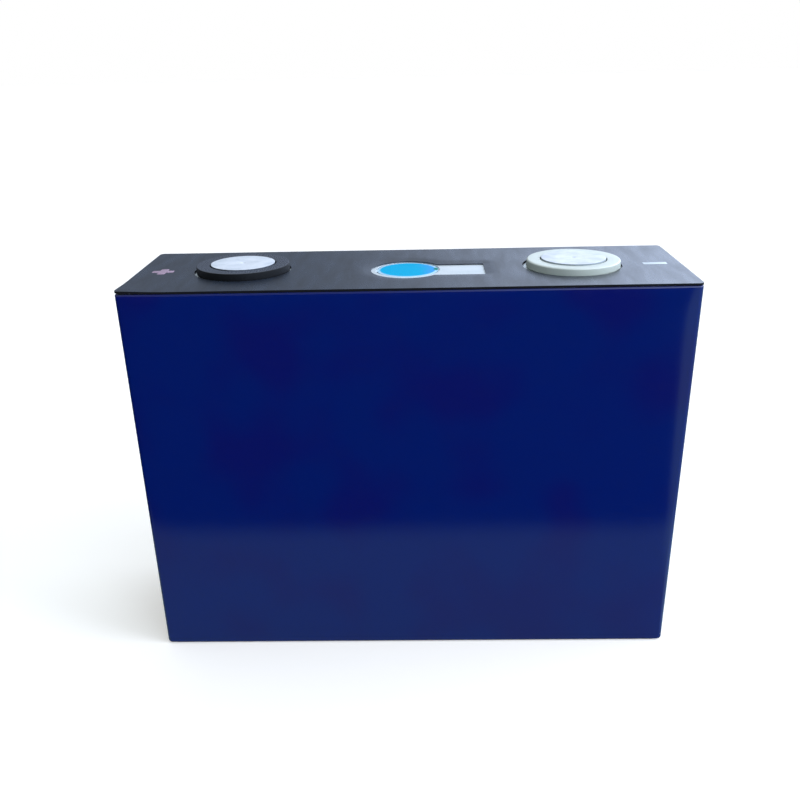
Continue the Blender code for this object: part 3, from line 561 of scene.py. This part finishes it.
sheet = {"inset": 0.15, "lowered": 0.2, "cornerRadius": 1.4, "cornerSteps": 5, "slice": 1.6,
         "positiveHole": (0.55, -0.15, -0.1), "negativeHole": (0.75, -0.4, -0.45),
         "windowSlack": 1.7, "windowShift": (-0.1, -1.3), "windowSteps": 96, "windowRim": 1.0,
         "slotWidth": 13.4, "slotEnd": 22.5, "slotCentre": -1.9, "slotCorner": 0.4, "slotSteps": 4,
         "flatFrom": 0.5, "wave": 0.05, "waveX": (13.0, 0.6), "waveY": 11.0, "slowWaveX": (29.0, -1.1),
         "cornerLift": 0.35, "liftReach": 16.0, "liftCurl": 1.5, "windowDip": 0.36, "dipReach": 3.0}


def sheetLift(x, y):
    # height that the sheet gains at a point, in metres
    length, phase = sheet["waveX"]
    slowLength, slowPhase = sheet["slowWaveX"]
    wave = math.sin(x / (length * mm) + phase) * math.cos(y / (sheet["waveY"] * mm))
    wave += math.sin(x / (slowLength * mm) + slowPhase)
    away = math.hypot(x + halfX, y + halfY) / mm
    corner = sheet["cornerLift"] * (1.0 - smoothStep(0.0, sheet["liftReach"], away)) ** sheet["liftCurl"]
    return (sheet["wave"] * 0.5 * wave + corner) * mm


def windowGap(x, y):
    # distance outside the keyhole window, in millimetres
    windowX, windowY = sheet["windowShift"]
    disc = math.hypot(x / mm - windowX, y / mm - windowY) - ventRadius / mm - sheet["windowSlack"]
    slotX = max(0.0, x / mm - sheet["slotEnd"], windowX - x / mm)
    slotY = max(0.0, abs(y / mm - sheet["slotCentre"]) - 0.5 * sheet["slotWidth"])
    return min(disc, math.hypot(slotX, slotY))


def sheetCutters(bottom, top):
    ringLow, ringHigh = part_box("negative_ring")
    ringRadius = 0.5 * (ringHigh.x - ringLow.x)
    cutters = []
    for side, name in ((-1, "positiveHole"), (1, "negativeHole")):
        slack, shiftX, shiftY = (value * mm for value in sheet[name])
        hole = ringRadius + slack
        profile = [(0.0, bottom), (hole, bottom), (hole, top), (0.0, top)]
        centre = (side * padCentreX + shiftX, shiftY)
        cutters.append(turned("sheetHole", profile, centre, None))
    radius = ventRadius + sheet["windowSlack"] * mm
    windowX, windowY = (value * mm for value in sheet["windowShift"])
    slotLow = (sheet["slotCentre"] - 0.5 * sheet["slotWidth"]) * mm
    slotHigh = (sheet["slotCentre"] + 0.5 * sheet["slotWidth"]) * mm
    start = math.asin((slotHigh - windowY) / radius)
    end = 2.0 * math.pi + math.asin((slotLow - windowY) / radius)
    corner = sheet["slotCorner"] * mm
    cornerX = sheet["slotEnd"] * mm - corner
    window = arcPoints(windowX, windowY, radius, start, end, sheet["windowSteps"])
    window += arcPoints(cornerX, slotLow + corner, corner, -0.5 * math.pi, 0.0, sheet["slotSteps"])
    window += arcPoints(cornerX, slotHigh - corner, corner, 0.0, 0.5 * math.pi, sheet["slotSteps"])
    cutters.append(skinned("sheetWindow", [[(x, y, z) for x, y in window] for z in (bottom, top)], None))
    return cutters


def makeSheet():
    low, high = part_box("top_sheet")
    # the sheet reaches below its part, so that its near black edge covers the shadowed gap above the lid as
    # painted shadow
    bottom = low.z - sheet["lowered"] * mm
    top = high.z
    inset = sheet["inset"] * mm
    outline = roundedRect(high.x - inset, high.y - inset, sheet["cornerRadius"] * mm, sheet["cornerSteps"])
    data = bmesh.new()
    rings = [[data.verts.new((x, y, z)) for x, y in outline] for z in (bottom, top)]
    data.faces.new(rings[0])
    data.faces.new(rings[1])
    for i in range(len(outline)):
        data.faces.new((rings[0][i - 1], rings[0][i], rings[1][i], rings[1][i - 1]))
    # sliced both ways, so that it can wave
    for axis, half in ((0, high.x), (1, high.y)):
        count = int(2.0 * half / (sheet["slice"] * mm))
        normal = Vector((axis == 0, axis == 1, 0))
        for i in range(1, count):
            point = normal * (2.0 * half * i / count - half)
            bmesh.ops.bisect_plane(data, geom=data.verts[:] + data.edges[:] + data.faces[:],
                                   dist=weldDistance, plane_co=point, plane_no=normal)
    piece = makeObject("topSheet", data, blackSheet)
    cutAway(piece, sheetCutters(bottom - mm, top + mm))
    mesh = piece.data
    mesh.materials.clear()
    mesh.materials.append(blackSheet)
    mesh.materials.append(cutEdgeAndShade)
    # upright faces take the near black edge material, which is partly painted shadow
    for face in mesh.polygons:
        # the window's own edge is printed black like the face
        inWindow = windowGap(face.center.x, face.center.y) < sheet["windowRim"]
        face.material_index = 0 if abs(face.normal.z) > sheet["flatFrom"] or inWindow else 1
    middle = 0.5 * (bottom + top)
    for vertex in mesh.vertices:
        x, y, z = vertex.co
        if z > middle:
            # stuck down hard round the window, so its rim is thin there
            nearness = 1.0 - smoothStep(0.0, sheet["dipReach"], windowGap(x, y))
            vertex.co.z -= sheet["windowDip"] * mm * nearness
        vertex.co.z += sheetLift(x, y)
    mesh.update()
    mesh.set_sharp_from_angle(angle=math.radians(creaseAngle))
    return piece, top


sheetPiece, sheetTop = makeSheet()
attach(sheetPiece, "cell")
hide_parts("top_sheet")
print("top sheet laid")


# printed polarity marks

marks = {"reach": 72.4, "plusY": -0.9, "minusY": -0.35, "plusLength": 6.4, "minusLength": 6.9,
         "stroke": 2.3, "roundness": 0.35, "cornerSteps": 4, "inkThickness": 0.05,
         "levels": (-1.0, 0.4, 0.8), "topShrink": 0.985}


def minusOutline(length, stroke, radius):
    return roundedRect(0.5 * length, 0.5 * stroke, radius, marks["cornerSteps"])


def plusOutline(length, stroke, radius):
    # four arms with rounded ends, taken round from the right-hand one
    half = 0.5 * length
    wide = 0.5 * stroke
    steps = marks["cornerSteps"]
    arm = arcPoints(half - radius, -wide + radius, radius, -0.5 * math.pi, 0.0, steps)
    arm += arcPoints(half - radius, wide - radius, radius, 0.0, 0.5 * math.pi, steps)
    arm.append((wide, wide))
    points = []
    for cosine, sine in ((1, 0), (0, 1), (-1, 0), (0, -1)):
        points += [(x * cosine - y * sine, x * sine + y * cosine) for x, y in arm]
    return points


def printMark(name, outline, centreX, centreY, ink):
    # the ink starts inside the sheet, and its top edge is drawn in a little
    loops = []
    for level in marks["levels"]:
        shrink = marks["topShrink"] if level == marks["levels"][-1] else 1.0
        height = sheetTop + level * marks["inkThickness"] * mm
        points = [(centreX + x * shrink, centreY + y * shrink) for x, y in outline]
        loops.append([(x, y, height + sheetLift(x, y)) for x, y in points])
    mark = skinned(name, loops, ink)
    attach(mark, "cell")


for name, draw, side, ink in (("plus", plusOutline, -1, plusInk), ("minus", minusOutline, 1, minusInk)):
    outline = draw(marks[name + "Length"] * mm, marks["stroke"] * mm, marks["roundness"] * mm)
    printMark(name + "Mark", outline, side * marks["reach"] * mm, marks[name + "Y"] * mm, ink)
print("marks printed")


# terminals: insulating rings and the pads in them

# ring and pad faces that look less upwards than shadedSideFrom take a darker colour that is painted shade
ring = {"draft": 0.08, "footFillet": 0.25, "topFillet": {"positive": 0.2, "negative": 0.5},
        "innerFillet": 0.2, "footSteps": 4, "topSteps": 8, "innerSteps": 5, "dish": 0.05, "floor": 0.6,
        "rise": {"positive": 0.15, "negative": 0.0}, "shadedSideFrom": {"positive": 0.85, "negative": 0.45}}
pad = {"edgeFillet": 0.12, "edgeSteps": 6, "shadedSideFrom": 0.7, "dimpleRadius": 0.9, "dimpleDepth": 0.25,
       "dimpleFlat": 0.2, "dimpleSteps": 8, "capThickness": 0.6, "ringGap": 0.3, "boreInset": 1.8}


def ringProfile(label, outerRadius, bore, hole, bottom, seat):
    # the black ring has a crisper shoulder than the white one and comes nearly up to its pad
    top = seat + ring["rise"][label] * mm
    foot = ring["footFillet"] * mm
    shoulder = ring["topFillet"][label] * mm
    inner = ring["innerFillet"] * mm
    floor = bottom + ring["floor"] * mm
    upper = outerRadius - ring["draft"] * mm
    profile = [(hole, bottom)]
    profile += arcPoints(outerRadius - foot, bottom + foot, foot, -0.5 * math.pi, 0.0, ring["footSteps"])
    profile += arcPoints(upper - shoulder, top - shoulder, shoulder, 0.0, 0.5 * math.pi, ring["topSteps"])
    profile.append((0.5 * (upper + bore), top - ring["dish"] * mm))
    profile += arcPoints(bore + inner, top - inner, inner, 0.5 * math.pi, math.pi, ring["innerSteps"])
    profile += [(bore, floor), (hole, floor)]
    return profile


def padProfile(radius, bore, bottom, top):
    # a disc with a centring dimple, hollow underneath where the post comes up
    fillet = pad["edgeFillet"] * mm
    dimple = pad["dimpleRadius"] * mm
    depth = pad["dimpleDepth"] * mm
    pocket = top - pad["capThickness"] * mm
    profile = []
    for i in range(pad["dimpleSteps"] + 1):
        share = i / pad["dimpleSteps"]
        profile.append((dimple * share, top - depth * (1.0 - smoothStep(pad["dimpleFlat"], 1.0, share))))
    profile += arcPoints(radius - fillet, top - fillet, fillet, 0.5 * math.pi, 0.0, pad["edgeSteps"])
    return profile + [(radius, bottom), (bore, bottom), (bore, pocket), (0.0, pocket)]


def splitOffShadedSide(piece, shadedSideMaterial, shadedSideFrom):
    # faces that look less upwards than this take the side material, a darker copy that is painted shade
    piece.data.materials.append(shadedSideMaterial)
    for face in piece.data.polygons:
        face.material_index = 0 if face.normal.z > shadedSideFrom else 1


def ringHoleRadius(label):
    # the ring's own hole, from the innermost corners of its CAD solid
    low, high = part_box(label + "_ring")
    centreX = 0.5 * (low.x + high.x)
    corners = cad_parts[label + "_ring"].data.vertices
    return min(math.hypot(corner.co.x - centreX, corner.co.y) for corner in corners)


def makeTerminal(label, ringMaterial, ringShadedSideMaterial, padShadedSideMaterial):
    ringLow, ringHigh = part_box(label + "_ring")
    low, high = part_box(label + "_pad")
    centre = (0.5 * (low.x + high.x), 0.0)
    padRadius = 0.5 * (high.x - low.x)
    ringRadius = 0.5 * (ringHigh.x - ringLow.x)
    hole = ringHoleRadius(label)
    ringBore = padRadius + pad["ringGap"] * mm
    profile = ringProfile(label, ringRadius, ringBore, hole, ringLow.z, ringHigh.z)
    ringPiece = turned(label + "Ring", profile, centre, ringMaterial)
    splitOffShadedSide(ringPiece, ringShadedSideMaterial, ring["shadedSideFrom"][label])
    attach(ringPiece, "cell")
    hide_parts(label + "_ring")
    padBore = hole - pad["boreInset"] * mm
    padPiece = turned(label + "Pad", padProfile(padRadius, padBore, low.z, high.z), centre, padAluminium)
    splitOffShadedSide(padPiece, padShadedSideMaterial, pad["shadedSideFrom"])
    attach(padPiece, "cell")
    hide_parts(label + "_pad")


makeTerminal("positive", blackPpsPaintedLightFace, blackPpsPaintedShadeSide, darkShadedPadSide)
makeTerminal("negative", whitePps, whitePpsPaintedShadeSide, lighterShadedPadSide)
print("terminals fitted")


# vent film: a thin disc with a pressed-down rim, which peels away with the petals. Each step is (way in, way
# down as a share of the rim's drop), and the crown's shares are of the way out from its middle

ventDisc = {"rimDrop": 0.07, "rimSteps": ((0.0, 1.4), (0.1, 1.0), (0.45, 1.0), (0.58, 0.7)),
            "crownInset": 0.7, "crown": 0.02, "crownSteps": ((0.05, 0.1), (0.25, 0.0)),
            "crownShares": (0.85, 0.6, 0.35, 0.15, 0.0)}


def makeVentFilm():
    top, bottom = ventHigh.z, ventLow.z
    drop = ventDisc["rimDrop"] * mm
    crown = ventDisc["crown"] * mm
    inner = ventRadius - ventDisc["crownInset"] * mm
    profile = [(0.0, bottom), (ventRadius, bottom)]
    profile += [(ventRadius - inset * mm, top - share * drop) for inset, share in ventDisc["rimSteps"]]
    profile += [(inner - inset * mm, top - crown - share * drop) for inset, share in ventDisc["crownSteps"]]
    profile += [(inner * share, top - crown * share * share) for share in ventDisc["crownShares"]]
    return turned("ventFilm", profile, (ventCentre.x, ventCentre.y), ventCyan)


ventPiece = makeVentFilm()
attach(ventPiece, "peeling_film")
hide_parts("vent_film")
print("vent covered")


# finishes of the pieces that keep their CAD shape

finishes = {"can": drawnAluminium, "lid_plate": rolledAluminium, "vent_rim": rolledAluminium,
            "vent_petal_left": rolledAluminium, "vent_petal_right": rolledAluminium,
            "fill_cap": rolledAluminium, "fill_plug": sealRubber, "positive_post": rolledAluminium,
            "negative_post": copper, "positive_seal": sealRubber, "negative_seal": sealRubber,
            "lower_insulator_positive": naturalPolypropylene,
            "lower_insulator_negative": naturalPolypropylene,
            "vent_guard": naturalPolypropylene, "positive_collector": rolledAluminium,
            "negative_collector": copper, "positive_tab_front": rolledAluminium,
            "positive_tab_back": rolledAluminium, "negative_tab_front": copper, "negative_tab_back": copper,
            "jelly_roll_front": separator, "jelly_roll_back": separator, "roll_tape_front": greenTape,
            "roll_tape_back": greenTape, "insulating_pouch": naturalPolypropylene,
            "bottom_plate": naturalPolypropylene}

for name, material in finishes.items():
    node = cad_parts[name]
    if not node.material_slots:
        node.data.materials.append(material)
    for slot in node.material_slots:
        slot.material = material
print("inner pieces finished")


# floor, soft light and the card that the glossy film mirrors

# the floor's size is in metres
floorLook = {"size": 12.0, "drop": 0.05, "colour": "#fdf9f2", "roughness": 0.9, "glow": 0.22,
             "glowTint": "#fff2df"}


def makeFloor():
    data = bmesh.new()
    bmesh.ops.create_grid(data, x_segments=1, y_segments=1, size=0.5 * floorLook["size"])
    material, tree, shader, _ = newMaterial("paleFloor")
    plug(tree, shader, {"Base Color": hexColour(floorLook["colour"]), "Roughness": floorLook["roughness"],
                        "Emission Color": hexColour(floorLook["glowTint"]),
                        "Emission Strength": floorLook["glow"]})
    floor = makeObject("floor", data, material)
    floor.location.z = -floorLook["drop"] * mm


# the card's size is in metres
card = {"size": 4.0, "height": 0.4, "tuck": 2.0, "colour": "#d3fff0", "nearReach": (63.0, 83.0),
        "nearGlow": 0.29, "farGlow": 0.004, "rightGlow": 0.42, "rightBlend": 10.0, "rightLean": 0.36}


def squareCorners(reachX, reachY):
    return (reachX, reachY), (-reachX, reachY), (-reachX, -reachY), (reachX, -reachY)


def cardMaterial():
    # grey close to the cell, near black further out, and a brighter wedge beyond its right side
    material, tree, _, place = newMaterial("greyCard")
    size = addNode(tree, "VectorMath", {"operation": "ABSOLUTE"}, {0: place})
    beyond = addNode(tree, "VectorMath", {"operation": "SUBTRACT"},
                     {0: size.outputs[0], 1: (halfX, halfY, 0.0)})
    axes = addNode(tree, "SeparateXYZ", {}, {0: beyond.outputs[0]})
    reach = addNode(tree, "Math", {"operation": "MAXIMUM"}, {0: axes.outputs[0], 1: axes.outputs[1]})
    nearEnd, farStart = (value * mm for value in card["nearReach"])
    glow = addNode(tree, "MapRange", {"interpolation_type": "SMOOTHSTEP"},
                   {"Value": reach.outputs[0], "From Min": nearEnd, "From Max": farStart,
                    "To Min": card["nearGlow"], "To Max": card["farGlow"]})
    spot = addNode(tree, "SeparateXYZ", {}, {0: place})
    away = addNode(tree, "Math", {"operation": "ABSOLUTE"}, {0: spot.outputs[1]})
    lean = addNode(tree, "Math", {"operation": "MULTIPLY_ADD"},
                   {0: away.outputs[0], 1: -card["rightLean"], 2: spot.outputs[0]})
    right = addNode(tree, "MapRange", {"interpolation_type": "SMOOTHSTEP"},
                    {"Value": lean.outputs[0], "From Min": halfX - card["rightBlend"] * mm,
                     "From Max": halfX, "To Min": 0.0, "To Max": card["rightGlow"]})
    total = addNode(tree, "Math", {"operation": "ADD"}, {0: glow.outputs[0], 1: right.outputs[0]})
    emit = addNode(tree, "Emission", {},
                   {"Color": hexColour(card["colour"]), "Strength": total.outputs[0]})
    tree.links.new(emit.outputs[0], tree.nodes["Material Output"].inputs["Surface"])
    return material


def makeCard():
    # a card laid round the cell that only reflections see
    data = bmesh.new()
    height = card["height"] * mm
    half = 0.5 * card["size"]
    tuck = card["tuck"] * mm
    outer = [data.verts.new((x, y, height)) for x, y in squareCorners(half, half)]
    inner = [data.verts.new((x, y, height)) for x, y in squareCorners(halfX - tuck, halfY - tuck)]
    for i in range(4):
        data.faces.new((outer[i - 1], outer[i], inner[i], inner[i - 1]))
    piece = makeObject("reflectionCard", data, cardMaterial())
    piece.visible_camera = False
    piece.visible_diffuse = False
    piece.visible_transmission = False
    piece.visible_volume_scatter = False
    piece.visible_shadow = False


# the dome's edges are parts of a unit direction: to the right for the window, upwards for the overhead light
dome = {"low": 0.32, "window": 3.4, "windowEdge": (-0.15, 0.55), "windowColour": "#d3e3ff",
        "overhead": 0.95, "overheadEdge": (0.3, 0.75), "overheadColour": "#eef8ff"}


def makeWorld():
    # a soft dome: white overhead, and low down dim on the left and bright on the right like a window wall.
    # The camera itself sees plain white
    world = bpy.data.worlds.new("softDome")
    bpy.context.scene.world = world
    world.use_nodes = True
    tree = world.node_tree
    towards = addNode(tree, "TexCoord", {}, {}).outputs["Generated"]
    axes = addNode(tree, "SeparateXYZ", {}, {0: towards})
    leftEnd, rightEnd = dome["windowEdge"]
    window = addNode(tree, "MapRange", {"interpolation_type": "SMOOTHSTEP"},
                     {"Value": axes.outputs[0], "From Min": leftEnd, "From Max": rightEnd,
                      "To Min": dome["low"], "To Max": dome["window"]})
    wall = addNode(tree, "VectorMath", {"operation": "SCALE"},
                   {0: hexColour(dome["windowColour"])[:3], "Scale": window.outputs[0]})
    roof = tuple(dome["overhead"] * channel for channel in hexColour(dome["overheadColour"])[:3])
    roofStart, roofEnd = dome["overheadEdge"]
    height = addNode(tree, "MapRange", {"interpolation_type": "SMOOTHSTEP"},
                     {"Value": axes.outputs[2], "From Min": roofStart, "From Max": roofEnd})
    glow = addNode(tree, "Mix", {"data_type": "VECTOR"}, {0: height.outputs[0], 4: wall.outputs[0], 5: roof})
    path = addNode(tree, "LightPath", {}, {})
    shown = addNode(tree, "Mix", {"data_type": "VECTOR"},
                    {0: path.outputs["Is Camera Ray"], 4: glow.outputs[1], 5: (1.0, 1.0, 1.0)})
    plug(tree, tree.nodes["Background"], {"Color": shown.outputs[1]})


# size and places in metres, power in watts
panel = {"size": 0.3, "place": (0.5, -0.16, 0.34), "aim": (0.06, -0.02, 0.06), "power": 2.0,
         "tint": "#e6eeff"}


def makePanel():
    # one soft panel on the right, so that the film brightens from left to right
    data = bpy.data.lights.new("softPanel", "AREA")
    data.shape = "SQUARE"
    data.size = panel["size"]
    data.energy = panel["power"]
    data.color = hexColour(panel["tint"])[:3]
    piece = bpy.data.objects.new("softPanel", data)
    bpy.context.scene.collection.objects.link(piece)
    place = Vector(panel["place"])
    turn = (place - Vector(panel["aim"])).to_track_quat("Z", "Y").to_matrix().to_4x4()
    piece.matrix_world = Matrix.Translation(place) @ turn
    piece.visible_glossy = False


makeFloor()
makeCard()
makeWorld()
makePanel()
print("stage set")


# camera where someone looks down on the cell from close by; its angles are in degrees

camera = {"place": (3.2, -257.5, 175.1), "yaw": -1.48, "pitch": 24.36, "roll": -1.305, "lens": 39.45,
          "sensor": 36.0, "shiftY": 0.0573, "clipStart": 10.0}


def makeCamera():
    yaw, pitch, roll = (math.radians(camera[name]) for name in ("yaw", "pitch", "roll"))
    forward = Vector((math.sin(yaw) * math.cos(pitch), math.cos(yaw) * math.cos(pitch), -math.sin(pitch)))
    level = Vector((math.cos(yaw), -math.sin(yaw), 0.0))
    raised = level.cross(forward)
    right = math.cos(roll) * level + math.sin(roll) * raised
    up = math.cos(roll) * raised - math.sin(roll) * level
    data = bpy.data.cameras.new("camera")
    data.sensor_width = camera["sensor"]
    data.lens = camera["lens"]
    data.shift_y = camera["shiftY"]
    data.clip_start = camera["clipStart"] * mm
    piece = bpy.data.objects.new("camera", data)
    bpy.context.scene.collection.objects.link(piece)
    turn = Matrix((right, up, -forward)).transposed().to_4x4()
    piece.matrix_world = Matrix.Translation(Vector(camera["place"]) * mm) @ turn
    bpy.context.scene.camera = piece


makeCamera()
bpy.context.scene.view_settings.view_transform = "Standard"
print("camera placed")
